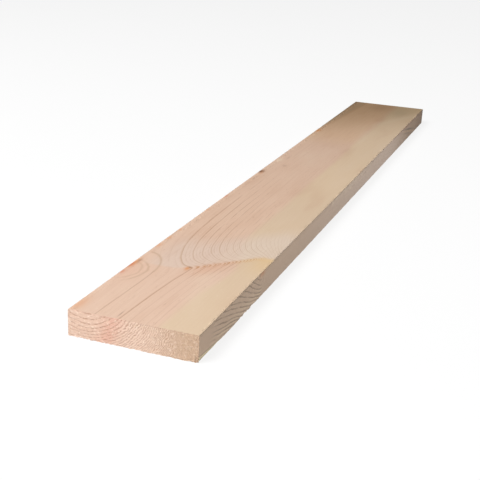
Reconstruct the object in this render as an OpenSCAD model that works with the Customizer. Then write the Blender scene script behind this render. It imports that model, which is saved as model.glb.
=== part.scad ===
// Timber plank: one length of dressed softwood of nominal 2 x 8 in section.
// The grain and the length run along X, the width across Y, the thickness up Z.
// It lies on z = 0, with the origin at the centre of its bottom face.

/* [Stock] */
// Length from sawn end to sawn end
length = 1524; // [300:1:6100]
// Dressed width across the face
width = 184; // [60:1:300]
// Dressed thickness
thickness = 38; // [16:1:75]

/* [Edges] */
// Radius that eases each of the four long edges
edge_radius = 1; // [0.5:0.5:6]

/* [Hidden] */
// Sides of a full circle in the eased edges
arc_sides = 64;
// Width of the flat that is left on each broad face
face_flat = width - 2 * edge_radius;
// Height of the flat that is left on each edge
edge_flat = thickness - 2 * edge_radius;

// Section across the grain, centred on Y and standing on z = 0: two crossed
// rectangles carry the four flat faces, and a circle rounds each long edge.
module section() {
    translate([-face_flat / 2, 0])
        square([face_flat, thickness]);
    translate([-width / 2, edge_radius])
        square([width, edge_flat]);
    for (side = [-1, 1], level = [edge_radius, edge_radius + edge_flat])
        translate([side * face_flat / 2, level])
            circle(r = edge_radius, $fn = arc_sides);
}

// The plank: its section run along the grain and cut square at both ends.
module plank() {
    color("burlywood")
        rotate([90, 0, 90])
            translate([0, 0, -length / 2])
                linear_extrude(height = length)
                    section();
}

plank();
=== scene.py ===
import math

import bmesh
import bpy
from mathutils import Matrix, Vector


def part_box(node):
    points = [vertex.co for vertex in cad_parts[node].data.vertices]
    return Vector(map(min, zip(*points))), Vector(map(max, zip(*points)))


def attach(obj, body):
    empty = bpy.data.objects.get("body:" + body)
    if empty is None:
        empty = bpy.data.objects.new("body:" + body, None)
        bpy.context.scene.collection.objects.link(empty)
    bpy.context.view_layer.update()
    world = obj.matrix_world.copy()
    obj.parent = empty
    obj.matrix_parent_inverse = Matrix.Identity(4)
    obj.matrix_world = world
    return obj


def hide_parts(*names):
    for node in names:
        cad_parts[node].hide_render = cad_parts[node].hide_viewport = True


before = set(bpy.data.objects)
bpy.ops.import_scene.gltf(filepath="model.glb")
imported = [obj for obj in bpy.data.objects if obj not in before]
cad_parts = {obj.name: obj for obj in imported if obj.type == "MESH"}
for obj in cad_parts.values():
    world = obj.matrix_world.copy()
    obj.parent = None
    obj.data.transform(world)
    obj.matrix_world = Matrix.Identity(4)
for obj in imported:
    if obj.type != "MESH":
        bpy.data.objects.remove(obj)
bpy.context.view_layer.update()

# ---------------------------------------------------------------------------
# The plank
# One length of dressed softwood, cut from beside the heart of a crooked stem.
# It is planed on four sides, its long edges are lightly eased on the planer,
# and its two ends are left rough from the cross-cut saw.
# ---------------------------------------------------------------------------
MM = 0.001
low, high = (Vector(corner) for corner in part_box("plank"))
length, width, thickness = high - low
edge_radius = 1 * MM
edge_segments = 4
strip_width = 8 * MM
strip_height = 6.4 * MM
worn_cuts = (1.5 * MM, 3.5 * MM)
end_depth = 4 * MM
end_cuts = 4
rough_length = 260 * MM
rough_parts = (8, 16)
plain_parts = (14, 14)

bpy.ops.object.select_all(action="DESELECT")
bpy.ops.mesh.primitive_cube_add(size=1, location=(low + high) / 2, scale=high - low)
plank = bpy.context.object
plank.name = "softwood_plank"
bpy.ops.object.transform_apply(location=True, rotation=True, scale=True)


def pick(piece, kind, wanted):
    """In edit mode, selects just the piece's edges or faces that wanted accepts."""
    bpy.ops.mesh.select_mode(type="EDGE" if kind == "edges" else "FACE")
    bpy.ops.mesh.select_all(action="DESELECT")
    shape = bmesh.from_edit_mesh(piece.data)
    for part in getattr(shape, kind):
        part.select_set(wanted(part))
    bmesh.update_edit_mesh(piece.data)


def saw_through(axis, distance):
    """In edit mode, cuts every face where it passes the distance from the low side on an axis."""
    normal = Vector((0, 0, 0))
    normal[axis] = 1
    bpy.ops.mesh.select_all(action="SELECT")
    bpy.ops.mesh.bisect(plane_co=low + normal * distance, plane_no=normal)


def runs_along(edge, start=0, end=length, shortest=0):
    """True for an edge that runs with the grain, between two distances from the near end."""
    first, last = sorted(corner.co.x - low.x for corner in edge.verts)
    long_enough = last - first > max(shortest, 0.9 * edge.calc_length())
    return long_enough and first > start - MM and last < end + MM


# The planer's cutters ease the four long edges
bpy.ops.object.mode_set(mode="EDIT")
pick(plank, "edges", runs_along)
bpy.ops.mesh.bevel(offset=edge_radius, segments=edge_segments, affect="EDGES")

# The faces are cut into strips, closer together by the worn lower right edge, and the
# strips into lengths, shorter over the rough near part, so that unevenness can be shaped
for axis, step in ((1, strip_width), (2, strip_height)):
    flat = high[axis] - low[axis] - 2 * edge_radius
    count = round(flat / step)
    for cut in range(count + 1):
        saw_through(axis, edge_radius + flat * cut / count)
    for extra in worn_cuts:
        saw_through(axis, edge_radius + extra)
for distance in (end_depth / 2, end_depth, rough_length, length - end_depth, length - end_depth / 2):
    saw_through(0, distance)
for start, end, parts in (
    (end_depth, rough_length, rough_parts),
    (rough_length, length - end_depth, plain_parts),
):
    for part_count in parts:
        pick(plank, "edges", lambda edge: runs_along(edge, start, end, 2 * end_depth))
        bpy.ops.mesh.subdivide(number_cuts=part_count - 1)


def by_an_end(face):
    """True for a sawn end's faces and for the first of the long faces beside it."""
    middle = face.calc_center_median().x
    return min(middle - low.x, high.x - middle) < end_depth


pick(plank, "faces", by_an_end)
bpy.ops.mesh.subdivide(number_cuts=end_cuts)
bpy.ops.mesh.select_all(action="SELECT")
bpy.ops.mesh.remove_doubles(threshold=0.01 * MM)
bpy.ops.mesh.normals_make_consistent(inside=False)
bpy.ops.object.mode_set(mode="OBJECT")

# Flat pattern of the surface: the four long faces lie one above the other, stretched to
# the full width of the sheet, and the two ends lie side by side at its top
sheet_gap = 0.006
sheet_margin = 0.005
long_faces_share = 0.85
sheet_scale = long_faces_share / (2 * (width + thickness))
sheet_rows = {}
row = sheet_gap
for axis, size in ((2, width), (1, thickness)):
    for facing in (-1, 1):
        sheet_rows[axis, facing] = row
        row += size * sheet_scale + sheet_gap
flat_pattern = plank.data.uv_layers.new(name="OFBake")
for face in plank.data.polygons:
    axis = max(range(3), key=lambda number: abs(face.normal[number]))
    facing = 1 if face.normal[axis] > 0 else -1
    for loop in face.loop_indices:
        x, y, z = plank.data.vertices[plank.data.loops[loop].vertex_index].co - low
        if axis == 0:
            half = 0.5 if facing > 0 else 0
            spot = (half + sheet_margin + (0.5 - 2 * sheet_margin) * y / width,
                    row + (1 - sheet_gap - row) * z / thickness)
        else:
            rise = y if axis == 2 else z
            spot = (sheet_margin + (1 - 2 * sheet_margin) * x / length,
                    sheet_rows[axis, facing] + rise * sheet_scale)
        flat_pattern.data[loop].uv = spot


def press_in(piece, name, depth, share, direction="NORMAL", grain_size=None, contrast=1):
    """Presses the piece's surface in: share gives how much at a place in mm, from 0 to 1."""
    group = piece.vertex_groups.new(name=name)
    for corner in piece.data.vertices:
        weight = share(*((corner.co - low) / MM))
        if weight > 0.001:
            group.add([corner.index], min(weight, 1), "REPLACE")
    relief = piece.modifiers.new(name, "DISPLACE")
    relief.vertex_group = name
    relief.direction = direction
    relief.mid_level = 0
    relief.strength = depth
    if grain_size:
        relief.texture = bpy.data.textures.new(name, "CLOUDS")
        relief.texture.noise_scale = grain_size
        relief.texture.noise_depth = 1
        relief.texture.contrast = contrast
        relief.texture.use_clamp = True
    bpy.ops.object.modifier_apply(modifier=name)
    piece.vertex_groups.clear()


full_length, full_width, full_height = (side / MM for side in (length, width, thickness))


def right_arris(y, z, reach):
    """1 on the lower right edge, fading to 0 at the reach from it."""
    return max(0, 1 - math.hypot(y, z) / reach)


# The lower right edge: waney at the near corner, rippled by tear-out where the grain dives
wane_length, wane_width, wane_height = 88, 5, 9
tear_out_reach = 6
dive_middle, dive_reach = 187, 42


def wane_share(x, y, z):
    """1 at the near corner of the lower right edge, fading along, across and up."""
    return max(0, 1 - x / wane_length) ** 0.6 * max(0, 1 - z / wane_height) * max(0, 1 - y / wane_width)


def tear_out_share(x, y, z):
    """Faint all along the lower right edge, and full where the grain dives."""
    return right_arris(y, z, tear_out_reach) * (0.2 + 0.8 * math.exp(-((x - dive_middle) / dive_reach) ** 4))


bpy.context.view_layer.objects.active = plank
press_in(plank, "wane", -2 * MM, wane_share)
press_in(plank, "tear_out", -1.7 * MM, tear_out_share, grain_size=11 * MM, contrast=2.2)

# The ends: rough from the saw, with the fibres torn along their lower edge
saw_depth = 0.7 * MM
saw_reach = 1.5
torn_along, torn_up = 4, 3
saw_finish = {"direction": "X", "grain_size": 2.4 * MM, "contrast": 1.6}


def near_cut_share(x, y, z):
    """1 on the face of the near end, fading just behind it."""
    return max(0, 1 - x / saw_reach)


def far_cut_share(x, y, z):
    """The same for the far end."""
    return max(0, 1 - (full_length - x) / saw_reach)


def torn_share(x, y, z):
    """1 on the lower edge of each end, fading along the plank and up."""
    return max(0, 1 - min(x, full_length - x) / torn_along) * max(0, 1 - z / torn_up)


press_in(plank, "near_saw_cut", saw_depth, near_cut_share, **saw_finish)
press_in(plank, "far_saw_cut", -saw_depth, far_cut_share, **saw_finish)
press_in(plank, "torn_fibres", 1.3 * MM, torn_share, "Z", 1.8 * MM, 2.5)
bpy.ops.object.shade_smooth_by_angle(angle=math.radians(40))


class Field:
    """A value that changes through the wood. Maths on it adds the shader's Math nodes."""

    tree = None

    def __init__(self, socket):
        self.socket = socket

    @classmethod
    def node(cls, kind, settings, inputs, output=0):
        """Adds a node: its settings first, then the value or link of each input."""
        made = cls.tree.nodes.new("ShaderNode" + kind)
        for name, value in settings.items():
            setattr(made, name, value)
        for name, value in inputs.items():
            if isinstance(value, Field):
                cls.tree.links.new(value.socket, made.inputs[name])
            else:
                made.inputs[name].default_value = value
        return cls(made.outputs[output])

    @staticmethod
    def maths(operation, *values):
        return Field.node("Math", {"operation": operation}, dict(enumerate(values)))

    def out(self, output):
        return Field(self.socket.node.outputs[output])

    def feed(self, name):
        """Links this to an input of the wood's shader."""
        Field.tree.links.new(self.socket, Field.tree.nodes["Principled BSDF"].inputs[name])

    def __add__(self, other):
        return Field.maths("ADD", self, other)

    def __sub__(self, other):
        return Field.maths("SUBTRACT", self, other)

    def __rsub__(self, other):
        return Field.maths("SUBTRACT", other, self)

    def __mul__(self, other):
        return Field.maths("MULTIPLY", self, other)

    def __truediv__(self, other):
        return Field.maths("DIVIDE", self, other)

    def __rtruediv__(self, other):
        return Field.maths("DIVIDE", other, self)

    def __mod__(self, other):
        return Field.maths("FLOORED_MODULO", self, other)

    def __neg__(self):
        return Field.maths("MULTIPLY", self, -1)

    __radd__ = __add__
    __rmul__ = __mul__


def ramp(value, start, end):
    """Rises softly from 0 to 1 as the value goes from start to end, or falls if end is the lower."""
    if end < start:
        return 1 - ramp(value, end, start)
    return Field.node("MapRange", {"interpolation_type": "SMOOTHSTEP"},
                      {"Value": value, "From Min": start, "From Max": end})


def bell(*terms):
    """1 where every term is 0, and fading away as they grow past 1."""
    total = sum((term * term for term in terms[1:]), terms[0] * terms[0])
    return Field.maths("EXPONENT", -total)


def least(a, b, soft=0):
    return Field.maths("SMOOTH_MIN", a, b, soft) if soft else Field.maths("MINIMUM", a, b)


def most(a, b, soft=0):
    return Field.maths("SMOOTH_MAX", a, b, soft) if soft else Field.maths("MAXIMUM", a, b)


def root(value):
    return Field.maths("SQRT", value)


def size_of(value):
    return Field.maths("ABSOLUTE", value)


def squared(value):
    return value * value


def shade(red, green, blue):
    """A colour as a paint chart gives it, turned into amounts of light."""
    return tuple((c / 255) ** 2.2 for c in (red, green, blue)) + (1,)


def stain(timber, colour, share, way="MIX"):
    """The timber's colour with another laid on it."""
    return Field.node("Mix", {"data_type": "RGBA", "blend_type": way}, {0: share, 6: timber, 7: colour}, 2)


def wash(timber, tint, share):
    """The timber's colour darkened by a see-through tint."""
    return stain(timber, tint + (1,), share, "MULTIPLY")


def grain(size, detail=2, rough=0.5, seed=0):
    """Random unevenness about 0, with features of the given size along, across and up, in mm."""
    stretched = Field.node("VectorMath", {"operation": "MULTIPLY"},
                           {0: place, 1: tuple(1000 / s for s in size)})
    return Field.node("TexNoise", {"noise_dimensions": "4D"},
                      {"Vector": stretched, "W": seed, "Scale": 1, "Detail": detail,
                       "Roughness": rough}) - 0.5


wood = bpy.data.materials.new("planed_softwood")
wood.use_nodes = True
Field.tree = wood.node_tree

# Where a point lies in the plank, in mm: along from the near end, across from
# the left edge, and up from the bottom face
place = Field.node("TexCoord", {}, {}, "Object")
axes = Field.node("SeparateXYZ", {}, {0: place})
along = (axes.out(0) - low.x) * 1000
across = (high.y - axes.out(1)) * 1000
up = (axes.out(2) - low.z) * 1000
right_side = ramp(across, full_width - 4, full_width - 3.2) * ramp(up, full_height - 0.4, full_height - 1.2)
other_faces = 1 - right_side

# The saw's rough surface reaches raggedly a little way on to the long faces
saw_start, saw_end = 0.9, 1.8
fray = grain((9, 3.5, 9), 2, 0.7, 41) * 6
sawn = ramp(along + fray, saw_end, saw_start)
sawn = sawn + ramp(along + fray, full_length - saw_end, full_length - saw_start)

# The stem had a crook where its branches grew: there the rings drift to the right and
# then turn sharply back to the left, along a slanting line across the face
crook_slant = 1.05
crook_from = 113
crook_nearest = 186
crook_furthest = 284
crook_lead_on_edge = 50
crook_line = most(across * crook_slant + crook_from, crook_nearest, 22)
crook_line = least(crook_line, crook_furthest, 15) - right_side * crook_lead_on_edge
past_crook = along - crook_line
turn_softness = ramp(across, 95, 45) * 34 + 4
rounded = root(past_crook * past_crook + turn_softness * turn_softness)
before = (rounded - past_crook) / 2
after = (rounded + past_crook) / 2
drift = (right_side * 14 + 20) * Field.maths("EXPONENT", -before / (right_side * 80 + 90))
drift = drift - 62 * (1 - Field.maths("EXPONENT", after / -66))

# Growth rings round the heart of the stem, which lay above and to the left. A plank's
# rings lie further apart near the heart, and the late years were slower than the early
heart_across = 25
heart_up = 75
ring_closeness = 0.00155
gap_by_distance = 320
first_ring = 0.6
slow_from = 6.3
waver = grain((300, 60, 60), 1) * 5 + grain((60, 14, 14), 1) * 2.2
waver = waver + sawn * (grain((14, 13, 9), 1, 0.5, 8) * 8 + grain((5, 5, 5), 2, 0.6, 7) * 5)
from_heart = across - drift + waver - heart_across
rings = (from_heart * from_heart + (heart_up - up) * (heart_up - up)) * ring_closeness + first_ring
rings = rings + most(rings - slow_from, 0) * 0.18
ring = Field.maths("FLOOR", rings)
through = rings - ring
ring_gap = gap_by_distance / most(size_of(from_heart), 12)
before_line = (1 - through) * ring_gap

# Late wood: a thin line at the end of each ring, bolder in one ring of three, and wider
# but fainter where the rings turn
turned = ramp(past_crook, -10, 20) * ramp(past_crook, 200, 60)
soft_late = ramp(through, 0.35, 0.95) * ramp(through, 1.0, 0.96)
soft_late = soft_late * ramp(size_of(from_heart), 12, 32)
bold = ramp(size_of((ring % 3) - 2), 0.9, 0.1)
thin_late = ramp(before_line, 1.4, 0.2)
bold_late = ramp(before_line, 2.6, 0.3)
wide_late = ramp(before_line, 2.4, 0.5) * ramp(through, 1.0, 0.92)
late = thin_late + (bold_late - thin_late) * bold
late = late + (wide_late - late) * turned
chance = Field.node("TexWhiteNoise", {"noise_dimensions": "1D"}, {"W": ring})
ring_strength = 0.2 + 0.16 * turned + bold * (0.8 - 0.42 * turned * ramp(from_heart, 40, 60))
ring_strength = ring_strength * (0.7 + chance * 0.5)
broken = ramp(grain((50, 5, 5), 2, 0.6, 3), -0.17, 0.1)
broken = broken + (1 - broken) * (0.75 * bold + 0.2) * ramp(along, 420, 300)

# Planed faces: pink heartwood, cream sapwood, and a pale band just past the crook
near_heartwood = shade(232, 198, 175)
far_heartwood = shade(233, 198, 173)
near_sapwood = shade(228, 201, 171)
far_sapwood = shade(235, 207, 175)
pale_pink = shade(229, 204, 187)
pale_cream = shade(236, 216, 198)
heart_edge = 128 + 17 * bell((along - 215) / 70) - 13 * ramp(along, 240, 380)
sap = ramp(across - heart_edge + grain((240, 20, 20), 2) * 14, -7, 9)
pale = ramp(past_crook, 0, 10) * ramp(past_crook + grain((60, 20, 20), 1) * 30, 165, 80)
pale = pale * ramp(across, 5, 40) * other_faces
heartwood = stain(near_heartwood, far_heartwood, ramp(along, 240, 450))
sapwood = stain(near_sapwood, far_sapwood, ramp(along, 500, 750))
colour = stain(heartwood, sapwood, sap)
colour = stain(colour, stain(pale_pink, pale_cream, ramp(across, 90, 150)), pale * 0.8)

# Broad blotches and fine streaks along the grain, each darker and lighter in turn
dark_blotch = shade(205, 160, 130)
light_blotch = shade(240, 215, 190)
dark_streak = shade(205, 165, 138)
light_streak = shade(243, 218, 196)
blotch = grain((180, 45, 45), 2, 0.5, 14)
colour = stain(colour, dark_blotch, ramp(blotch, 0, 0.3) * 0.3)
colour = stain(colour, light_blotch, ramp(blotch, 0, -0.3) * 0.3)
streaks = grain((90, 3.5, 3.5), 3, 0.6, 12)
streaky = 0.22 - sap * 0.12 - right_side * 0.05
colour = stain(colour, dark_streak, ramp(streaks, 0, 0.25) * streaky)
colour = stain(colour, light_streak, ramp(streaks, 0, -0.25) * streaky)

# Late wood shows brown in the near heartwood, and is hardly seen in the sapwood, towards
# the far end, beyond the heart, short of the crook and where the arch takes over
late_shadow = shade(196, 152, 120)
late_brown = shade(178, 134, 102)
late_tan = shade(190, 158, 122)
visible = (1 - 0.9 * sap * (1 - pale)) * (1 - 0.9 * ramp(along, 400, 780)) * broken
visible = visible * (1 - 0.9 * ramp(from_heart, 7, -1) * ramp(up, full_height - 4, full_height - 1))
visible = visible * (1 - 0.75 * ramp(across, 76, 92) * ramp(past_crook, -28, -60))
by_arch = ramp(along, 158, 170) * ramp(along, 218, 204) * ramp(across, 53, 47) * ramp(across, 18, 26)
visible = visible * (1 - 0.9 * by_arch * other_faces)
visible = visible * (1 - 0.45 * ramp(across, 55, 80) * ramp(along, 300, 380))
line = late * visible * ring_strength
colour = stain(colour, late_shadow, soft_late * visible * ring_strength * 0.3)
line_depth = 0.62 - turned * 0.14 - 0.2 * ramp(from_heart, 24, 10)
colour = stain(colour, stain(late_brown, late_tan, turned), line * line_depth)

# Resin ducts: short thin ticks that follow the grain, some dark and some light
dark_duct = shade(170, 128, 100)
light_duct = shade(250, 228, 208)
ticks = ramp(grain((14, 1.2, 1.2), 1, 0.5, 21), 0.17, 0.24) * (1 - sap * 0.8) * (1 - right_side * 0.5)
colour = stain(colour, dark_duct, ticks * 0.3)
flecks = ramp(grain((10, 1.3, 1.3), 1, 0.5, 22), 0.18, 0.24) * (1 - right_side * 0.8)
colour = stain(colour, light_duct, flecks * 0.3)

# Where the rings turn at the crook, each leaves an orange-brown tick, and resin has
# yellowed the wood beside them by the right edge
flushed = shade(222, 166, 134)
turn_yellow = shade(235, 200, 150)
tick_brown = shade(196, 140, 96)
resin_yellow = shade(233, 197, 143)
beside_crook = past_crook + 3 + grain((9, 6, 9), 1, 0.5, 19) * 16
flush = bell((beside_crook + 14) / 24, (across - 112) / 22) * other_faces
colour = stain(colour, flushed, flush * 0.4)
turn = bell(beside_crook / 8) * ramp(across, 74, 92) * other_faces
colour = stain(colour, turn_yellow, turn * ramp(across, 120, 165) * 0.5)
through_tick = (rings * 0.7) % 1
tick = ramp(through_tick, 0.35, 0.7) * ramp(through_tick, 1.0, 0.85)
colour = stain(colour, tick_brown, turn * ramp(across, 178, 150) * tick * (0.45 + chance * 0.45))
yellowed = bell((along - 265) / 42, (across - 176) / 20) * ramp(past_crook, 16, -10) * other_faces
colour = stain(colour, resin_yellow, yellowed * 0.45)

# The grain swirls round the largest knot in two close arcs, and a ring line arches
# over them and back to the left edge
knot_flush = shade(236, 184, 158)
swirl_tan = shade(192, 156, 120)
round_knot = root(squared((along - 155) / 45) + squared((across - 3) / 30))
round_knot = round_knot + grain((25, 25, 25), 1, 0.5, 18) * 0.3
colour = stain(colour, knot_flush, bell(round_knot / 0.75) * other_faces * 0.35)
arcs = bell((round_knot - 1) / 0.06) * 0.42 + bell((round_knot - 0.7) / 0.06) * 0.3
arcs = arcs * ramp(along, 108, 135) * ramp(along, 205, 185) * other_faces
over_knot = root(squared((along - 165) / 70) + squared((across - 3) / 40))
over_knot = over_knot + grain((50, 50, 50), 1, 0.5, 25) * 0.07
arch = bell((over_knot - 1) / 0.036) * ramp(along, 156, 168) * ramp(across, 2, 9) * other_faces
colour = stain(colour, swirl_tan, arcs + arch * 0.45)

# Right edge face: greyer, with bold dark rings where it cuts across the crooked grain
edge_tan = shade(216, 184, 155)
edge_pink = shade(230, 203, 182)
edge_ring_brown = shade(146, 118, 92)
edge_cream_and_highlight = shade(250, 224, 186)
swirl = right_side * ramp(along, 246, 222) * ramp(along, 30, 75)
colour = stain(colour, edge_tan, right_side)
colour = stain(colour, edge_pink, right_side * ramp(along, 220, 950) * 0.8)
through_edge = (rings * 0.78 + grain((40, 12, 12), 2, 0.6, 16) * 0.8) % 1
bands = ramp(through_edge, 0.62, 0.9) * ramp(through_edge, 1.0, 0.94)
bands = bands * ramp(grain((40, 9, 9), 2, 0.5, 17), -0.25, 0.05)
colour = stain(colour, edge_ring_brown, swirl * bands * 0.75)
# Between the bands, paler early wood, brightened towards the lower edge by a painted highlight where the
# torn grain catches light
between_bands = bell((through_edge - 0.3) / 0.2) * ramp(up, 26, 6)
colour = stain(colour, edge_cream_and_highlight, swirl * between_bands * 0.5)

# Further along, the grain dives under the edge face and leaves light and dark marks
dive_light = shade(252, 226, 196)
dive_dark = shade(176, 142, 116)
dive = grain((26, 9, 5), 2, 0.65, 23)
dive_marks = right_side * ramp(along, 540, 640) * ramp(along, 1000, 850) * ramp(up, 12, 30)
colour = stain(colour, dive_light, dive_marks * ramp(dive, 0.04, 0.16) * 0.6)
colour = stain(colour, dive_dark, dive_marks * ramp(dive, -0.06, -0.18) * 0.5)

# The waney strip at its near corner is painted yellowish, a painted highlight of the light it
# catches from the floor, with a brown upper rim, and the lower arris is dark all along
painted_wane_highlight = shade(243, 226, 176)
wane_rim_brown = shade(150, 122, 92)
arris_brown = shade(130, 104, 84)
strip_top = 7.5 - along * 0.085
wane = right_side * ramp(up - strip_top, 0.4, -0.4)
colour = stain(colour, painted_wane_highlight, wane * 0.7)
wane_rim = right_side * bell((up - strip_top - 0.8) / 0.9) * ramp(along, 88, 60)
colour = stain(colour, wane_rim_brown, wane_rim * 0.7)
colour = stain(colour, arris_brown, right_side * ramp(up, 1.6, 0.4) * 0.5)

# Knots and stains of the top face, each an oval that fades with depth, so that those on the
# left arris run on down the left edge: middle along, middle across, half length, half
# width, colour, strength
orange = shade(226, 158, 108)
red = shade(205, 120, 88)
brown = shade(120, 78, 55)
cream = shade(248, 224, 196)
for middle, aside, half, broad, paint, strength in (
    (22, 5, 22, 8, orange, 0.45),
    (146, 3, 8, 3, red, 0.6),
    (184, 3, 20, 5, orange, 0.8),
    (176, 2, 11, 3, red, 0.8),
    (196, 6, 7, 2.5, brown, 0.4),
    (198, 81, 6, 3.5, orange, 0.9),
    (203, 83, 3, 2, brown, 0.5),
    (267, 3, 9, 4, orange, 0.55),
    (303, 3, 9, 4, orange, 0.6),
    (346, 3, 7, 3, orange, 0.5),
    (465, 2, 8, 3, orange, 0.5),
    (551, 2, 9, 3, red, 0.6),
    (737, 4, 11, 6, brown, 0.95),
    (728, 8, 16, 3, orange, 0.4),
    (838, 9, 11, 5, cream, 0.8),
    (864, 20, 14, 2.5, brown, 0.16),
    (800, 32, 7, 4, brown, 0.2),
    (1140, 5, 13, 6, orange, 0.95),
    (17, 68, 9, 0.9, brown, 0.5),
):
    below_top = (full_height - up) / (broad * 3)
    oval = bell((along - middle) / half, (across - aside) / broad, below_top) * other_faces
    colour = stain(colour, paint, oval * strength)

# The same on the right edge face: middle along, middle up, half length, half height
for middle, level, half, tall, paint, strength in (
    (236, 36, 12, 5, orange, 0.7),
    (745, 33, 100, 5, cream, 0.35),
    (1330, 37, 150, 4, red, 0.35),
    (1.5, 22, 1.3, 1.2, cream, 0.9),
):
    oval = bell((along - middle) / half, (up - level) / tall) * right_side
    colour = stain(colour, paint, oval * strength)

# A knot just under the surface turns the grain of the right edge near its far end: a dark
# stroke slants down it, with a light one and a fainter dark one below
hump_brown = shade(110, 88, 72)
hump_light = shade(250, 214, 170)
hump = up - 34 + (along - 1270) * 0.17
hump_reach = bell((along - 1338) / 62) * right_side
colour = stain(colour, hump_brown, bell(hump / 2.2) * hump_reach * 0.75)
colour = stain(colour, hump_light, bell((hump + 5) / 2.4) * hump_reach * 0.5)
colour = stain(colour, arris_brown, bell((hump + 10) / 2) * hump_reach * 0.4)

# Towards the far end the wood is darkened with painted shade, browner the nearer the end,
# and soonest by the left edge, where a grey wedge with an orange rim widens towards the end
wedge_grey = shade(158, 140, 120)
far_painted_shade = (0.565, 0.513, 0.41)
wedge_rim = across - 4 - (along - 1142) * 0.077
wedge = ramp(wedge_rim, 9, -7) * ramp(along, 1120, 1220)
colour = stain(colour, wedge_grey, wedge * 0.3)
colour = stain(colour, orange, bell(wedge_rim / 1.5) * ramp(along, 1140, 1200) * 0.25)
later = across * (0.9 - right_side * 0.55)
# Painted shade over the far end, starting soonest by the left edge
colour = wash(colour, far_painted_shade, ramp(along - later, 960, 1450) * 0.8)

# Painted shade makes the right edge face darker still in its last hundred millimetres, and
# again right at the end
colour = wash(colour, (0.82, 0.76, 0.7), ramp(along, 1400, 1480) * right_side)
colour = wash(colour, (0.7, 0.7, 0.74), ramp(along, 1502, 1516) * right_side)

# On top, a painted shadow with a slanting edge and a painted light rim bounds the painted
# shade. The right edge face darkens steadily with painted shade over the same stretch
painted_rim_light = shade(222, 200, 172)
slant = along - across * 2.3 + grain((60, 60, 60), 2, 0.5, 24) * 60
# Painted shadow beyond the slanting edge, with a painted light rim along it
patch = ramp(slant, 1030, 1090) * ramp(along, 1120, 1260) * other_faces
colour = wash(colour, (0.97, 0.97, 0.95), patch)
colour = stain(colour, painted_rim_light, bell((slant - 1010) / 22) * ramp(along, 1120, 1300) * other_faces * 0.22)
colour = wash(colour, (0.72, 0.63, 0.52), ramp(along, 1120, 1400) * right_side)

# Near the far end a greenish-grey patch lies on the sapwood and a darker one on the
# heartwood, which is slightly tanned there
moss_grey = shade(128, 122, 100)
colour = stain(colour, moss_grey, bell((along - 1440) / 60, (across - 140) / 26) * other_faces * 0.2)
tanned = ramp(along, 980, 1120) * ramp(across, 125, 100) * other_faces
colour = wash(colour, (0.99, 0.96, 0.87), tanned)
stained = bell((along - 1480) / 50, (across - 80) / 32) * other_faces
colour = wash(colour, (0.87, 0.85, 0.84), stained)

# The left arris: rubbed a little darker all along, and dark brown by the far end
far_arris_brown = shade(112, 84, 62)
rubbed_brown = shade(160, 132, 110)
dark_arris = ramp(across, 6, 1) * ramp(along, 1190, 1320) * ramp(up, 14, 34)
colour = stain(colour, far_arris_brown, dark_arris * 0.45)
arris = ramp(across, 1.4, 0.3) * ramp(up, full_height - 3, full_height)
colour = stain(colour, rubbed_brown, arris * 0.4)

# Sawn ends: open pores and torn fibres, lighter and more broken than the planed faces,
# with a slanting red streak, and with the rings fading out in the sapwood
end_heartwood = shade(230, 195, 173)
end_sapwood = shade(209, 174, 144)
end_red = shade(226, 163, 142)
end_ring_brown = shade(176, 124, 100)
end_early_cream = shade(250, 225, 205)
torn_light = shade(252, 228, 210)
torn_dark = shade(186, 142, 116)
end_colour = stain(end_heartwood, end_sapwood, ramp(across, 85, 178))
red_heart = bell((across - 68 + (full_height - up) * 0.4) / 14)
end_colour = stain(end_colour, end_red, red_heart * 0.5)
end_line = ramp(through, 0.6, 0.9) * ramp(through, 1.0, 0.94)
ragged = ramp(grain((5, 5, 2.6), 3, 0.7, 5), -0.13, 0.1)
ringed = 1 - 0.6 * ramp(across, 135, 165)
end_colour = stain(end_colour, end_ring_brown, end_line * ragged * ringed * 0.72)
early = bell((through - 0.3) / 0.22) * ramp(across, 60, 85) * ringed
end_colour = stain(end_colour, end_early_cream, early * 0.45)
mottle = grain((5, 4.4, 3.2), 3, 0.65, 6)
end_colour = stain(end_colour, torn_light, ramp(mottle, 0.03, 0.2) * (0.35 + ringed * 0.35))
end_colour = stain(end_colour, torn_dark, ramp(mottle, -0.05, -0.24) * (0.1 + ringed * 0.45))
colour = stain(colour, end_colour, sawn)
colour.feed("Base Color")

# Late wood is a little glossier than the rest, and the sawn ends are quite dull
roughness = 0.6 - line * 0.12 + sawn * 0.25 + streaks * 0.1
roughness.feed("Roughness")

# Relief in mm: planed fibre, proud late wood, and the coarse fibre of the sawn ends
fibre = grain((30, 1, 1), 2, 0.6, 31) * (0.05 - right_side * 0.03) + line * 0.05
torn = mottle * 0.8 + grain((4, 1.2, 1.2), 2, 0.7, 32) * 0.4 - end_line * 0.25
height = fibre * (1 - sawn) + sawn * torn
Field.node("Bump", {}, {"Strength": 1, "Distance": MM, "Height": height}).feed("Normal")

plank.data.materials.clear()
plank.data.materials.append(wood)
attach(plank, "root")
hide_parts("plank")

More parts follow.
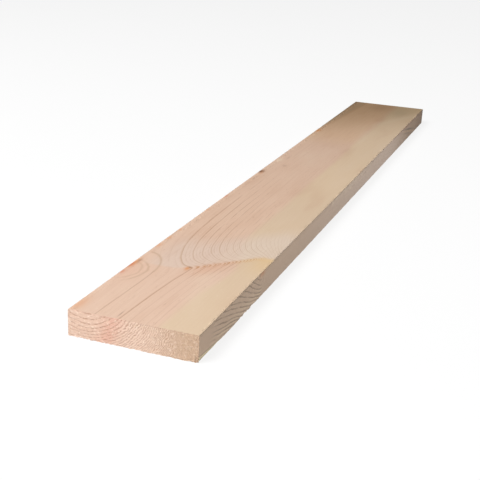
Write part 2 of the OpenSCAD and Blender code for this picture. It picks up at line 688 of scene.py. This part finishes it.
# ---------------------------------------------------------------------------
# The studio's sweep
# A wide pale floor for the plank to lie on, and a pale wall standing right round it. Both
# are plain painted board, lit so evenly that they look almost white.
# ---------------------------------------------------------------------------
room = 60
wall_height = 16
wall_below_floor = 1
floor_clearance = 0.02 * MM
bpy.ops.object.select_all(action="DESELECT")
bpy.ops.mesh.primitive_plane_add(size=room, location=(0, 0, low.z - floor_clearance))
floor = bpy.context.object
floor.name = "floor"
bpy.ops.mesh.primitive_cylinder_add(
    vertices=96, radius=room / 2, depth=wall_height, end_fill_type="NOTHING",
    location=(0, 0, low.z + wall_height / 2 - wall_below_floor))
wall = bpy.context.object
wall.name = "wall"
for unlit in ("visible_diffuse", "visible_glossy", "visible_shadow"):
    setattr(wall, unlit, False)
for board, finish, reflects, glows in (
    (floor, "pale_floor", 0.15, 0.86),
    (wall, "pale_wall", 0, 0.865),
):
    paint = bpy.data.materials.new(finish)
    paint.use_nodes = True
    shader = paint.node_tree.nodes["Principled BSDF"].inputs
    shader["Base Color"].default_value = (reflects, reflects, reflects, 1)
    shader["Emission Color"].default_value = (1, 1, 1, 1)
    shader["Emission Strength"].default_value = glows
    shader["Specular IOR Level"].default_value = 0
    shader["Roughness"].default_value = 1
    board.data.materials.append(paint)

# ---------------------------------------------------------------------------
# Camera
# It stands beyond the near end and out to the plank's right, about one plank's length from
# the point it looks at. It looks down at a shallow angle and a little to the left, so the
# far end runs away up and to the right.
# ---------------------------------------------------------------------------
turn_angle, tilt, roll = (math.radians(angle) for angle in (19.8, 20.0, 2.58))
widths_away = 8.61
widths_past_corner = Vector((2.41, -0.39, 0))
near_left = Vector((low.x, high.y, low.z))
target = near_left + width * widths_past_corner
back = Vector((-math.cos(turn_angle) * math.cos(tilt),
               -math.sin(turn_angle) * math.cos(tilt),
               math.sin(tilt)))
camera_data = bpy.data.cameras.new("camera")
camera_data.sensor_width = 36
camera_data.lens = 70.05
camera = bpy.data.objects.new("camera", camera_data)
bpy.context.collection.objects.link(camera)
camera.rotation_mode = "QUATERNION"
camera.location = target + back * widths_away * width
level_aim = (-back).to_track_quat("-Z", "Y")
camera.rotation_quaternion = level_aim @ Matrix.Rotation(roll, 3, "Z").to_quaternion()
bpy.context.scene.camera = camera


# ---------------------------------------------------------------------------
# Light
# One large softbox high up behind the camera's left shoulder, and a faint even fill from
# all round. The right edge face turns away from the softbox, so it is the darker one.
# ---------------------------------------------------------------------------
def softbox(name, size, power, place_at, aimed_at):
    """A square studio softbox, placed and aimed in metres."""
    data = bpy.data.lights.new(name, "AREA")
    data.size = size
    data.energy = power
    lamp = bpy.data.objects.new(name, data)
    lamp.location = place_at
    lamp.rotation_mode = "QUATERNION"
    lamp.rotation_quaternion = (Vector(aimed_at) - lamp.location).to_track_quat("-Z", "Y")
    lamp.visible_camera = False
    bpy.context.collection.objects.link(lamp)


softbox("key", 2.5, 295, (-2.9, 1.6, 3.9), (-0.5, 0, 0))
world = bpy.data.worlds.new("studio")
bpy.context.scene.world = world
world.use_nodes = True
fill = world.node_tree.nodes["Background"].inputs
fill["Strength"].default_value = 0.04
fill["Color"].default_value = (1, 1, 1, 1)
bpy.context.scene.view_settings.view_transform = "Standard"
